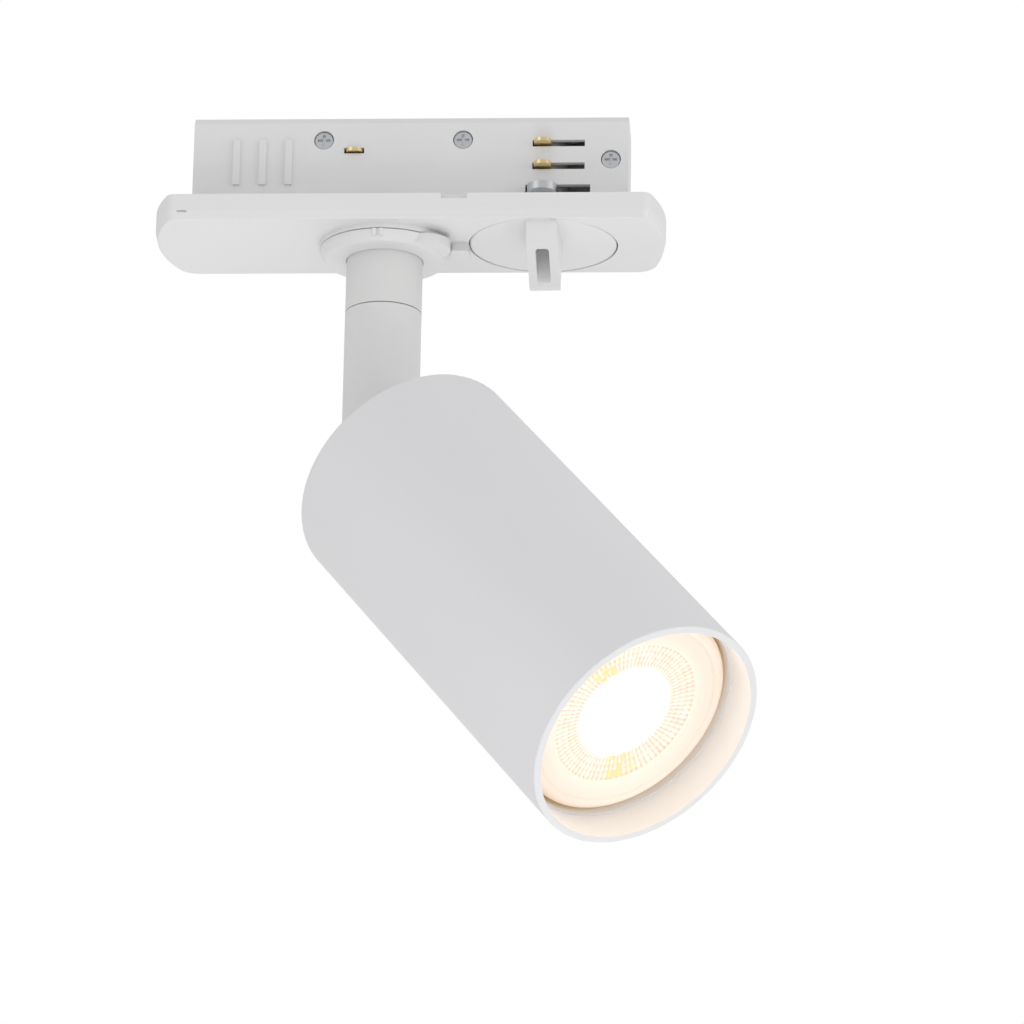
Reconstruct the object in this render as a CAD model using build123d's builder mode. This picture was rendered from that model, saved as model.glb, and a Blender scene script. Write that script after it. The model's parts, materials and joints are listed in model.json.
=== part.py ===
from build123d import *
import os
from math import cos, radians, sin

# Track spotlight: a track adapter with a turning lock, a swivelling stem and a tube head
# that holds a GU10 lamp.
# Frame: +Z up, +X along the track. The origin is where the pan axis meets the face of the
# plate that bears on the track. All lengths are millimetres, all angles degrees.

os.makedirs("parts", exist_ok=True)


def write(piece, name):
    """Label a finished piece and write it as one STEP file."""
    piece.part.label = name
    export_step(piece.part, f"parts/{name}.step")


# ---------------------------------------------------------------- driving dimensions
# plate under the track
plate_width = 36.0
plate_thick = 6.0
plate_left = -52.8
plate_right = 64.5
plate_left_corner = -48.0
plate_right_corner = 61.0
plate_near_round = 2.0
plate_far_round = 5.5
plate_step = 3.9
plate_draft = 0.5
plate_wall = 2.0
plate_floor = 2.4

# insert that goes up into the track's slot
insert_left = -44.0
insert_right = 56.0
insert_width = 16.4
insert_height = 23.0
insert_wall = 1.5
foot_thick = 1.6
foot_gap = 0.2
foot_width = 27.0

# lock: dial, lever, shaft, cam and contacts
dial_x = 36.4
dial_radius = 16.85
dial_gap = 0.3
dial_thick = 2.2
lever_width = 6.9
lever_skew = -2.0
lever_offset = 0.9
shaft_square = 5.0
cam_reach = 12.0
cam_width = 7.0
contact_reach = 11.2
contact_width = 4.0
rotor_radius = 5.8
journal_radius = 2.4

# swivel and stem
stem_radius = 8.75
seam_z = -22.6
seam_gap = 0.25
flange_top = -7.35
flange_bottom = -10.0
flange_radius = 14.9
spigot_radius = 7.0
nipple_radius = 6.0
stop_angle = -33.0
pivot_z = -54.9

# head: a tube tilted 45 degrees, with a GU10 lamp of 50 mm
tube_radius = 27.5
tube_bore = 25.6
seat_bore = 25.9
tube_length = 104.75
cap_gap = 13.0
cap_thick = 4.0
lamp_recess = 8.0
lamp_radius = 24.75
lamp_length = 54.35
head_pan = -40.8
head_tilt = 45.0

running = 0.05
hinge_pin_radius = 2.5

# ---------------------------------------------------------------- derived places
half_plate = plate_width / 2
half_insert = insert_width / 2
half_cavity = half_insert - insert_wall
floor_top = -plate_thick + plate_floor
foot_bottom = -foot_gap - foot_thick
ceiling = insert_height - insert_wall

pan = radians(head_pan)
tilt = radians(head_tilt)
pivot = Vector(0, 0, pivot_z)
head_axis = Vector(sin(tilt) * cos(pan), sin(tilt) * sin(pan), -cos(tilt))
hinge_axis = Vector(sin(pan), -cos(pan), 0)

rear_face = cap_gap
rim_face = rear_face + tube_length
lamp_face = rim_face - lamp_recess
lamp_base = lamp_face - lamp_length

# head plane: x along the hinge, y towards the underside of the head, z out of the mouth
head_plane = Plane(origin=pivot, x_dir=hinge_axis, z_dir=head_axis)
# lug plane: x out of the mouth, z along the hinge
lug_plane = Plane(origin=pivot, x_dir=head_axis, z_dir=hinge_axis)
# stem plane: x along the hinge, y towards the head, z up
stem_plane = Plane(origin=(0, 0, 0), x_dir=hinge_axis, z_dir=(0, 0, 1))


# ---------------------------------------------------------------- shared shapes
def plate_outline(inset):
    """Outline of the plate, drawn inset from its edge: two straight sides, two bowed ends."""
    side = half_plate - inset
    left = plate_left_corner + inset * 0.6
    right = plate_right_corner - inset * 0.8
    with BuildSketch() as outline:
        with BuildLine():
            Line((left, side), (right, side))
            ThreePointArc((right, side), (plate_right - inset, 0), (right, -side))
            Line((right, -side), (left, -side))
            ThreePointArc((left, -side), (plate_left + inset, 0), (left, side))
        make_face()
        fillet(outline.vertices().group_by(Axis.Y)[-1], max(plate_far_round - inset, 0.5))
        fillet(outline.vertices().group_by(Axis.Y)[0], max(plate_near_round - inset, 0.5))
    return outline.sketch


def arc_slot(radius, start, sweep_angle, width):
    """Slot of the given width along an arc about the centre."""
    with BuildSketch() as slot:
        SlotArc(CenterArc((0, 0), radius, start, sweep_angle), width)
    return slot.sketch


def lead(points, wire_radius, bend):
    """Insulated wire along straight runs joined by tangent arcs."""
    with BuildPart() as wire:
        with BuildLine() as route:
            FilletPolyline(*points, radius=bend)
        with BuildSketch(Plane(origin=route.line @ 0, z_dir=route.line % 0)):
            Circle(wire_radius)
        sweep()
    return wire


def screws(plane, places, shank_radius, shank_length, head_radius, head_height, slot_depth=0.7):
    """Pan-head screws. The plane lies under the heads, and the shanks run against its normal."""
    with BuildPart() as group:
        with BuildSketch(plane):
            with Locations(*places):
                Circle(shank_radius)
        extrude(amount=-shank_length)
        with BuildSketch(plane):
            with Locations(*places):
                Circle(head_radius)
        extrude(amount=head_height)
        fillet(group.edges().filter_by(GeomType.CIRCLE).filter_by(
            lambda edge: abs(plane.to_local_coords(edge.center()).Z - head_height) < 0.01), 0.35)
        with BuildSketch(plane.offset(head_height)):
            with Locations(*places):
                Rectangle(head_radius * 1.3, 0.7)
                Rectangle(0.7, head_radius * 1.3)
        extrude(amount=-slot_depth, mode=Mode.SUBTRACT)
    return group


# ---------------------------------------------------------------- cover plate
plate_screw_places = [(-40, 11), (-40, -11), (57.5, 10.4), (57.5, -10.4)]
plate_boss_radius = 2.6
plate_boss_top = foot_bottom
screw_radius = 1.25
bush_hole = 8.6
stop_inner = 15.4
stop_outer = 19.4
notch_place = 16.9
notch_width = 5.9

with BuildPart() as cover_plate:
    with BuildSketch(Plane.XY.offset(-plate_step)):
        add(plate_outline(0))
    extrude(amount=plate_step)
    # below the step the sides draw in a little to a crisp lower edge
    with BuildSketch(Plane.XY.offset(-plate_step)):
        add(plate_outline(0))
    with BuildSketch(Plane.XY.offset(-plate_thick)):
        add(plate_outline(plate_draft))
    loft()
    fillet(cover_plate.edges().group_by(Axis.Z)[0], 0.3)
    with BuildSketch(Plane.XY.offset(floor_top)):
        add(plate_outline(plate_wall))
    extrude(amount=-floor_top, mode=Mode.SUBTRACT)
    # bosses that take the screws from the insert's feet
    with BuildSketch(Plane.XY.offset(floor_top)):
        with Locations(*plate_screw_places):
            Circle(plate_boss_radius)
    extrude(amount=plate_boss_top - floor_top)
    with BuildSketch(Plane.XY.offset(plate_boss_top)):
        with Locations(*plate_screw_places):
            Circle(screw_radius)
    extrude(amount=-3.0, mode=Mode.SUBTRACT)
    # the dial's opening and the hole for the swivel bush
    with BuildSketch(Plane.XY.offset(-plate_thick)):
        with Locations((dial_x, 0)):
            Circle(dial_radius + dial_gap)
        Circle(bush_hole)
    extrude(amount=plate_floor, mode=Mode.SUBTRACT)
    # low block that stops the stem after most of a turn
    with BuildSketch(Plane.XY.offset(-plate_thick)):
        with Locations(((stop_inner + stop_outer) / 2, 1.0)):
            RectangleRounded(stop_outer - stop_inner, 6.0, 0.6)
    extrude(amount=-1.9)
    # release notch in the near top edge
    with BuildSketch(Plane.XY):
        with Locations((notch_place, -half_plate)):
            Rectangle(notch_width, 2.2)
    extrude(amount=-1.3, mode=Mode.SUBTRACT)
    # small slot in the step near the left end
    with BuildSketch(Plane.XY.offset(-plate_step)):
        with Locations((-45.0, -half_plate)):
            Rectangle(2.2, 1.2)
    extrude(amount=-0.5, mode=Mode.SUBTRACT)
write(cover_plate, "cover_plate")

with BuildPart() as friction_ring:
    with BuildSketch(Plane.XY.offset(-plate_thick)):
        Circle(15.1)
        Circle(9.3, mode=Mode.SUBTRACT)
    extrude(amount=-1.1)
    fillet(friction_ring.edges().group_by(Axis.Z)[0].sort_by(SortBy.LENGTH)[-1], 0.4)
write(friction_ring, "friction_ring")

# ---------------------------------------------------------------- track insert: two halves
case_screw_places = [(-14.0, 17.0), (18.0, 17.0), (52.0, 12.0)]
case_boss_radius = 2.6
window_clear = 0.4
cam_bottom = 3.2
cam_thick = 2.2
live_z = 10.0
neutral_z = 15.6
contact_thick = 0.8
earth_z = 14.0
earth_x = -7.0
cam_sweep = ((cam_reach ** 2 + (cam_width / 2) ** 2) - half_cavity ** 2) ** 0.5
contact_sweep = ((contact_reach ** 2 + (contact_width / 2) ** 2) - half_cavity ** 2) ** 0.5


def swept_window(side, sweep_reach, half_width, bottom, thick):
    """Cut a window in one side wall for a blade that turns a quarter turn through it."""
    short = half_width + window_clear
    far = sweep_reach + window_clear
    middle = dial_x - side * (far - short) / 2
    with BuildSketch(Plane.XY.offset(bottom - window_clear)) as opening:
        with Locations((middle, side * half_insert)):
            Rectangle(far + short, 2 * insert_wall + 0.6)
    return extrude(opening.sketch, amount=thick + 2 * window_clear, mode=Mode.PRIVATE)


def insert_half(side):
    """One moulded half of the insert, on the side y = side. The halves meet at y = 0."""
    with BuildPart() as half:
        with BuildSketch(Plane.XY.offset(foot_bottom)):
            with Locations(((insert_left + insert_right) / 2, side * half_insert / 2)):
                Rectangle(insert_right - insert_left, half_insert)
        extrude(amount=insert_height - foot_bottom)
        top_edges = half.edges().filter_by(Axis.X).group_by(Axis.Z)[-1]
        chamfer(top_edges.sort_by(Axis.Y)[0 if side < 0 else -1], 1.8)
        # foot that is screwed down into the plate
        with BuildSketch(Plane.XY.offset(foot_bottom)):
            with Locations((7.0, side * foot_width / 4)):
                Rectangle(106.0, foot_width / 2)
        extrude(amount=foot_thick)
        with BuildSketch(Plane.XY.offset(foot_bottom)):
            with Locations(((insert_left + insert_right) / 2, side * half_cavity / 2)):
                Rectangle(insert_right - insert_left - 2 * insert_wall, half_cavity)
        extrude(amount=ceiling - foot_bottom, mode=Mode.SUBTRACT)
        # bosses for the three case screws
        with BuildSketch(Plane.XZ.offset(0 if side < 0 else -half_cavity)):
            with Locations(*case_screw_places):
                Circle(case_boss_radius)
        extrude(amount=half_cavity)
        # screw holes: through in the near half, blind in the far half
        with BuildSketch(Plane.XZ.offset(half_insert if side < 0 else 0)):
            with Locations(*case_screw_places):
                Circle(screw_radius)
        extrude(amount=-half_insert if side < 0 else -6.0, mode=Mode.SUBTRACT)
        if side < 0:
            with BuildSketch(Plane.XZ.offset(half_insert)):
                with Locations(*case_screw_places):
                    Circle(2.3)
            extrude(amount=-1.9, mode=Mode.SUBTRACT)
        with BuildSketch(Plane.XY.offset(foot_bottom)):
            with Locations(*[place for place in plate_screw_places if place[1] * side > 0]):
                Circle(screw_radius)
        extrude(amount=foot_thick, mode=Mode.SUBTRACT)
        # room for the swivel's retaining ring, and the shaft's top bearing
        with BuildSketch(Plane.XY.offset(foot_bottom)):
            Circle(11.5)
        extrude(amount=1.9, mode=Mode.SUBTRACT)
        with BuildSketch(Plane.XY.offset(ceiling)):
            with Locations((dial_x, 0)):
                Circle(journal_radius + running)
        extrude(amount=insert_wall, mode=Mode.SUBTRACT)
        # windows for the cam, for the two contacts and for the earth blade
        add(swept_window(side, cam_sweep, cam_width / 2, cam_bottom, cam_thick), mode=Mode.SUBTRACT)
        if side < 0:
            for level in (live_z, neutral_z):
                add(swept_window(side, contact_sweep, contact_width / 2, level, contact_thick),
                    mode=Mode.SUBTRACT)
        with BuildSketch(Plane.XY.offset(earth_z - 0.3)):
            with Locations((earth_x, side * half_insert)):
                Rectangle(4.6, 2 * insert_wall + 0.6)
        extrude(amount=1.4, mode=Mode.SUBTRACT)
        # guide ribs that key the insert in the track's slot
        with BuildSketch(Plane.XY.offset(6.0)):
            with Locations(*[(x, side * (half_insert + 0.3)) for x in (-34, -28, -22)]):
                Rectangle(1.6, 0.6)
        extrude(amount=11.0)
    return half


write(insert_half(-1), "insert_near_half")
write(insert_half(1), "insert_far_half")

case_screws = screws(Plane.XZ.offset(half_insert - 1.9), case_screw_places,
                     screw_radius, half_insert + 3.0, 2.2, 1.5)
write(case_screws, "case_screws")

plate_screws = screws(Plane.XY.offset(-foot_gap), plate_screw_places, screw_radius, 4.2, 2.3, 1.3)
write(plate_screws, "plate_screws")

# ---------------------------------------------------------------- wiring inside the insert
block_left = -38.0
block_right = -20.0
block_entry = 4.0
core_radius = 0.85
core_spread = 1.8
core_z = 5.0
feed_radius = 0.9
feed_z = 8.0
feed_y = 4.5
block_screw_places = [(-35.0, 0), (-30.5, 0), (-26.0, 0)]

with BuildPart() as terminal_block:
    with BuildSketch(Plane.XY.offset(0.2)):
        with Locations(((block_left + block_right) / 2, 0)):
            RectangleRounded(block_right - block_left, 12.4, 1.0)
    extrude(amount=12.0)
    with BuildSketch(Plane.XY.offset(12.2)):
        with Locations(*block_screw_places):
            Circle(1.6)
    extrude(amount=-5.0, mode=Mode.SUBTRACT)
    with BuildSketch(Plane.YZ.offset(block_right)):
        with Locations((-core_spread, core_z), (0, core_z), (core_spread, core_z)):
            Circle(core_radius)
        with Locations((-feed_y, feed_z), (0, feed_z), (feed_y, feed_z)):
            Circle(feed_radius)
    extrude(amount=-block_entry, mode=Mode.SUBTRACT)
write(terminal_block, "terminal_block")

with BuildPart() as terminal_screws:
    with BuildSketch(Plane.XY.offset(7.2)):
        with Locations(*block_screw_places):
            Circle(1.5)
    extrude(amount=4.2)
    with BuildSketch(Plane.XY.offset(11.4)):
        with Locations(*block_screw_places):
            Rectangle(3.4, 0.6)
    extrude(amount=-0.8, mode=Mode.SUBTRACT)
write(terminal_screws, "terminal_screws")

for core_name, core_y in (("live_core", -core_spread), ("earth_core", 0), ("neutral_core", core_spread)):
    core = lead([(0, core_y, 2.0), (0, core_y, core_z), (block_right - block_entry, core_y, core_z)],
                core_radius, 2.2)
    write(core, core_name)

wiper_end = 26.0
for feed_name, side in (("live_feed", -1), ("neutral_feed", 1)):
    with BuildPart() as feed:
        with BuildSketch(Plane.YZ.offset(block_right - block_entry)):
            with Locations((side * feed_y, feed_z)):
                Circle(feed_radius)
        extrude(amount=wiper_end - block_right + block_entry)
    write(feed, feed_name)

earth_feed = lead([(block_right - block_entry, 0, feed_z), (earth_x, 0, feed_z), (earth_x, 0, earth_z)],
                  feed_radius, 2.5)
write(earth_feed, "earth_feed")

with BuildPart() as earth_blade:
    with BuildSketch(Plane.XY.offset(earth_z)):
        with Locations((earth_x, 0)):
            SlotOverall(19.0, 4.0, rotation=90)
    extrude(amount=0.8)
write(earth_blade, "earth_blade")

# spring strips that feed the two turning contacts
wiper_face = dial_x - rotor_radius - 0.2
wiper_thick = 0.5
for wiper_name, side, level in (("live_wiper", -1, live_z), ("neutral_wiper", 1, neutral_z)):
    with BuildPart() as wiper:
        with BuildSketch(Plane.XY.offset(level - 0.6)):
            with Locations((wiper_face - wiper_thick / 2, side * 2.25)):
                Rectangle(wiper_thick, 6.5)
        extrude(amount=2.0)
        with BuildSketch(Plane.XY.offset(feed_z - 1.0)):
            with Locations(((wiper_end + wiper_face) / 2, side * 5.25)):
                Rectangle(wiper_face - wiper_end, 0.5)
        extrude(amount=level + 1.4 - feed_z + 1.0)
    write(wiper, wiper_name)

# ---------------------------------------------------------------- lock
hub_radius = 6.0
hub_top = -1.2
socket_floor = -4.5
journal_bottom = 20.0
rotor_bottom = cam_bottom + cam_thick
rotor_top = 19.5

# lever outline, seen along the track: y across the dial, z down from the dial's face
lever_near_root = -16.4
lever_near_edge = (-14.7, -5.0)
lever_tip_near = (-5.0, -12.3)
lever_tip_far = (-2.9, -12.3)
lever_far_root = 1.2
pocket_width = 3.1
pocket_near = -13.4
pocket_far = -6.1
pocket_roof = -1.6

dial_plane = Plane(origin=(dial_x, 0, -plate_thick),
                   x_dir=(cos(radians(lever_skew)), sin(radians(lever_skew)), 0),
                   z_dir=(0, 0, 1))
lever_plane = Plane(origin=dial_plane.origin + dial_plane.x_dir * lever_offset,
                    x_dir=dial_plane.y_dir, z_dir=dial_plane.x_dir)

with BuildPart() as lock_dial:
    with BuildSketch(dial_plane):
        Circle(dial_radius)
    extrude(amount=dial_thick)
    fillet(lock_dial.edges().group_by(Axis.Z)[0], 0.4)
    # lever: a hollow thumb grip that leans in from the dial's edge
    with BuildSketch(lever_plane) as lever_side:
        with BuildLine():
            Polyline((lever_near_root, 0.3), lever_near_edge, lever_tip_near,
                     lever_tip_far, (lever_far_root, 0.3), close=True)
        make_face()
        fillet(lever_side.vertices().group_by(Axis.Y)[0], 0.9)
        fillet(lever_side.vertices().sort_by(Axis.X)[1], 0.4)
    extrude(amount=lever_width / 2, both=True)
    # slot in the lever's sloping face, deep at its upper end
    with BuildSketch(Plane(origin=dial_plane.origin + Vector(0, 0, pocket_roof),
                           x_dir=dial_plane.x_dir, z_dir=(0, 0, -1))):
        with Locations((lever_offset, -(pocket_near + pocket_far) / 2)):
            RectangleRounded(pocket_width, pocket_far - pocket_near, 0.7)
    extrude(amount=12.0, mode=Mode.SUBTRACT)
    # stepped hub that carries the cam, with a square socket for the shaft
    with BuildSketch(Plane.XY.offset(-plate_thick + dial_thick)):
        with Locations((dial_x, 0)):
            Circle(hub_radius)
    extrude(amount=hub_top + plate_thick - dial_thick)
    with BuildSketch(Plane.XY.offset(hub_top)):
        with Locations((dial_x, 0)):
            Circle(4.4)
    extrude(amount=cam_bottom - hub_top)
    with BuildSketch(Plane.XY.offset(socket_floor)):
        with Locations((dial_x, 0)):
            Rectangle(shaft_square, shaft_square)
    extrude(amount=cam_bottom - socket_floor, mode=Mode.SUBTRACT)
write(lock_dial, "lock_dial")

with BuildPart() as lock_shaft:
    with BuildSketch(Plane.XY.offset(socket_floor)):
        with Locations((dial_x, 0)):
            Rectangle(shaft_square, shaft_square)
    extrude(amount=journal_bottom - socket_floor)
    chamfer(lock_shaft.edges().filter_by(Axis.Z), 0.3)
    with BuildSketch(Plane.XY.offset(journal_bottom)):
        with Locations((dial_x, 0)):
            Circle(journal_radius)
    extrude(amount=insert_height - journal_bottom)
write(lock_shaft, "lock_shaft")

with BuildPart() as lock_cam:
    with BuildSketch(Plane.XY.offset(cam_bottom)):
        with Locations((dial_x, 0)):
            Circle(rotor_radius)
            SlotOverall(2 * cam_reach, cam_width, rotation=90)
            Rectangle(shaft_square, shaft_square, mode=Mode.SUBTRACT)
    extrude(amount=cam_thick)
    chamfer(lock_cam.edges().group_by(Axis.Z)[0].filter_by(GeomType.CIRCLE).sort_by(Axis.Y)[0], 0.4)
write(lock_cam, "lock_cam")

# three moulded spacers with square holes, threaded on the shaft between cam, contacts and clip
with BuildPart() as rotor_sleeves:
    for bottom, top in ((rotor_bottom, live_z), (live_z + contact_thick, neutral_z),
                        (neutral_z + contact_thick, rotor_top)):
        with BuildSketch(Plane.XY.offset(bottom)):
            with Locations((dial_x, 0)):
                Circle(rotor_radius - 0.3)
                Rectangle(shaft_square, shaft_square, mode=Mode.SUBTRACT)
        extrude(amount=top - bottom)
write(rotor_sleeves, "rotor_sleeves")

for contact_name, level in (("live_contact", live_z), ("neutral_contact", neutral_z)):
    with BuildPart() as contact:
        with BuildSketch(Plane.XY.offset(level)):
            with Locations((dial_x, 0)):
                Circle(rotor_radius)
            with Locations((dial_x, -(contact_reach - contact_width / 2) / 2)):
                Rectangle(contact_width, contact_reach - contact_width / 2)
            with Locations((dial_x, -(contact_reach - contact_width / 2))):
                Circle(contact_width / 2)
            with Locations((dial_x, 0)):
                Rectangle(shaft_square, shaft_square, mode=Mode.SUBTRACT)
        extrude(amount=contact_thick)
    write(contact, contact_name)

with BuildPart() as shaft_clip:
    with BuildSketch(Plane.XY.offset(journal_bottom + 0.1)):
        with Locations((dial_x, 0)):
            Circle(4.2)
            Circle(journal_radius, mode=Mode.SUBTRACT)
        with Locations((dial_x + 3.4, 0)):
            Rectangle(2.6, 2.0, mode=Mode.SUBTRACT)
    extrude(amount=0.8)
write(shaft_clip, "shaft_clip")

# leaf spring that clicks against the dial's hub
with BuildPart() as detent_spring:
    with BuildSketch(Plane.XZ.offset(-2.5)):
        with BuildLine():
            Polyline((12.2, floor_top), (17.0, floor_top), (18.6, -2.6), (dial_x - hub_radius - 0.2, -2.6),
                     (dial_x - hub_radius - 0.2, -2.0), (18.3, -2.0), (16.7, floor_top + 0.5),
                     (12.2, floor_top + 0.5), close=True)
        make_face()
    extrude(amount=5.0)
    with BuildSketch(Plane.XY.offset(floor_top)):
        with Locations((14.3, 0)):
            Circle(0.9)
    extrude(amount=0.5, mode=Mode.SUBTRACT)
write(detent_spring, "detent_spring")

with BuildPart() as detent_rivet:
    with BuildSketch(Plane.XY.offset(floor_top)):
        with Locations((14.3, 0)):
            Circle(0.9)
    extrude(amount=0.5)
    with BuildSketch(Plane.XY.offset(floor_top + 0.5)):
        with Locations((14.3, 0)):
            Circle(1.6)
    extrude(amount=0.6)
    fillet(detent_rivet.edges().group_by(Axis.Z)[-1], 0.4)
write(detent_rivet, "detent_rivet")

# ---------------------------------------------------------------- swivel
clip_groove_bottom = -2.2
clip_thick = 1.0
clip_groove_radius = 6.2
spigot_top = -0.5
upper_bore = 4.6
collar_shoulder = -8.6
shadow_gap = 0.15
lobe_place = 11.6
lobe_radius = 5.8
nipple_top = -11.6
nipple_bottom = -33.4

with BuildPart() as pan_bush:
    with BuildSketch(Plane.XY.offset(-plate_thick)):
        Circle(bush_hole)
        Circle(spigot_radius + running, mode=Mode.SUBTRACT)
    extrude(amount=plate_floor)
    with BuildSketch(Plane.XY.offset(floor_top)):
        Circle(11.0)
        Circle(spigot_radius + running, mode=Mode.SUBTRACT)
    extrude(amount=0.8)
write(pan_bush, "pan_bush")

with BuildPart() as wave_washer:
    with BuildSketch(Plane.XY.offset(floor_top + 0.85)):
        Circle(9.8)
        Circle(spigot_radius + 0.3, mode=Mode.SUBTRACT)
    extrude(amount=0.45)
write(wave_washer, "wave_washer")

with BuildPart() as pan_circlip:
    with BuildSketch(Plane.XY.offset(clip_groove_bottom)):
        Circle(9.0)
        Circle(clip_groove_radius, mode=Mode.SUBTRACT)
        with Locations((-8.0, 0)):
            Rectangle(5.0, 3.0, mode=Mode.SUBTRACT)
    extrude(amount=clip_thick)
write(pan_circlip, "pan_circlip")

with BuildPart() as stem_collar:
    # turned tube that the swivel ring is pressed on, with a groove for the retaining ring
    with BuildSketch(Plane.XZ):
        with BuildLine():
            Polyline((upper_bore, spigot_top), (spigot_radius, spigot_top),
                     (spigot_radius, clip_groove_bottom + clip_thick),
                     (clip_groove_radius, clip_groove_bottom + clip_thick),
                     (clip_groove_radius, clip_groove_bottom), (spigot_radius, clip_groove_bottom),
                     (spigot_radius, collar_shoulder), (stem_radius, collar_shoulder),
                     (stem_radius, seam_z), (nipple_radius, seam_z), (nipple_radius, nipple_top),
                     (upper_bore, nipple_top), close=True)
        make_face()
    revolve(axis=Axis.Z)
write(stem_collar, "stem_collar")

with BuildPart() as swivel_flange:
    # moulded ring with a bevelled rim, and a fine shadow gap round the collar
    with BuildSketch(Plane.XZ):
        with BuildLine():
            Polyline((spigot_radius, flange_top), (flange_radius, flange_top),
                     (flange_radius - 0.2, flange_top - 0.9), (flange_radius - 1.2, flange_bottom),
                     (stem_radius + shadow_gap, flange_bottom), (stem_radius + shadow_gap, collar_shoulder),
                     (spigot_radius, collar_shoulder), close=True)
        make_face()
    revolve(axis=Axis.Z)
    fillet([edge for edge in swivel_flange.edges().filter_by(GeomType.CIRCLE)
            if abs(edge.center().Z - flange_bottom) < 0.01 and edge.radius > stem_radius + 1], 0.9)
    # lobe that meets the stop block, and two small index ribs
    lobe = radians(stop_angle)
    with BuildSketch(Plane.XY.offset(flange_top)):
        with Locations((lobe_place * cos(lobe), lobe_place * sin(lobe))):
            Circle(lobe_radius)
        Circle(stem_radius + shadow_gap, mode=Mode.SUBTRACT)
    extrude(amount=-2.2)
    with BuildSketch(Plane.XY.offset(flange_top)):
        with Locations((-1.35, -flange_radius + 0.15), (0.25, -flange_radius + 0.15)):
            Circle(0.55)
    extrude(amount=-1.6)
write(swivel_flange, "swivel_flange")

with BuildPart() as stem_nipple:
    with BuildSketch(Plane.XY.offset(nipple_bottom)):
        Circle(nipple_radius)
        Circle(4.4, mode=Mode.SUBTRACT)
    extrude(amount=nipple_top - nipple_bottom)
write(stem_nipple, "stem_nipple")

# ---------------------------------------------------------------- stem with its forked end
slot_half = 4.1
slot_roof = 6.8
slot_back = -6.8
lug_half = 3.4
lug_round = 6.5
lower_bore = 4.3
pocket_floor = 5.8

with BuildPart() as stem_tube:
    with BuildSketch(Plane.XZ):
        with BuildLine():
            Polyline((0, seam_z - seam_gap), (stem_radius, seam_z - seam_gap), (stem_radius, pivot_z))
            RadiusArc((stem_radius, pivot_z), (0, pivot_z - stem_radius), stem_radius)
            Line((0, pivot_z - stem_radius), (0, seam_z - seam_gap))
        make_face()
    revolve(axis=Axis.Z)
    with BuildSketch(Plane.XY.offset(seam_z - seam_gap)):
        Circle(nipple_radius)
    extrude(amount=nipple_bottom - seam_z + seam_gap, mode=Mode.SUBTRACT)
    with BuildSketch(Plane.XY.offset(nipple_bottom)):
        Circle(lower_bore)
    extrude(amount=pivot_z + slot_roof - nipple_bottom, mode=Mode.SUBTRACT)
    # fork slot, closed at the back so that it stops the head at both ends of its travel
    with BuildSketch(stem_plane.offset(pivot_z + slot_roof)):
        with Locations((0, (slot_back + 12.0) / 2)):
            Rectangle(2 * slot_half, 12.0 - slot_back)
    extrude(amount=-20.0, mode=Mode.SUBTRACT)
    # hinge bore and the pockets for the screw head and the nut
    with BuildSketch(lug_plane):
        Circle(hinge_pin_radius)
    extrude(amount=12.0, both=True, mode=Mode.SUBTRACT)
    with BuildSketch(lug_plane.offset(pocket_floor)):
        Circle(4.8)
    extrude(amount=6.0, mode=Mode.SUBTRACT)
    with BuildSketch(lug_plane.offset(-pocket_floor)):
        Circle(4.8)
    extrude(amount=-6.0, mode=Mode.SUBTRACT)
write(stem_tube, "stem_tube")

with BuildPart() as stem_cable:
    with BuildSketch(Plane.XY.offset(pivot_z + slot_roof + 0.3)):
        Circle(2.6)
    extrude(amount=2.0 - pivot_z - slot_roof - 0.3)
write(stem_cable, "stem_cable")

with BuildPart() as hinge_screw:
    with BuildSketch(lug_plane.offset(-7.4)):
        Circle(hinge_pin_radius)
    extrude(amount=pocket_floor + 7.4)
    with BuildSketch(lug_plane.offset(pocket_floor)):
        Circle(4.2)
    extrude(amount=1.7)
    with BuildSketch(lug_plane.offset(pocket_floor + 1.7)):
        RegularPolygon(1.7, 6)
    extrude(amount=-1.1, mode=Mode.SUBTRACT)
write(hinge_screw, "hinge_screw")

with BuildPart() as hinge_nut:
    with BuildSketch(lug_plane.offset(-pocket_floor)):
        RegularPolygon(4.5, 6)
        Circle(hinge_pin_radius, mode=Mode.SUBTRACT)
    extrude(amount=-1.8)
write(hinge_nut, "hinge_nut")

# ---------------------------------------------------------------- head shell
post_offset = 16.0
post_top = 37.0
groove_half = 2.2
groove_floor = 4.0
tag_place = (12.0, -7.0)
cap_inside = rear_face + cap_thick
grub_angles = (-32, 32)
grub_radius = 1.25
grub_length = 5.0
grub_sunk = 0.4
m3_radius = 1.5


def grub_plane(around):
    """Plane on the head's axis inside the cap, facing out towards one grub screw."""
    outward = head_plane.x_dir * -cos(radians(around)) + head_plane.y_dir * sin(radians(around))
    return Plane(origin=pivot + head_axis * (rear_face + 2.2), z_dir=outward)


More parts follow.
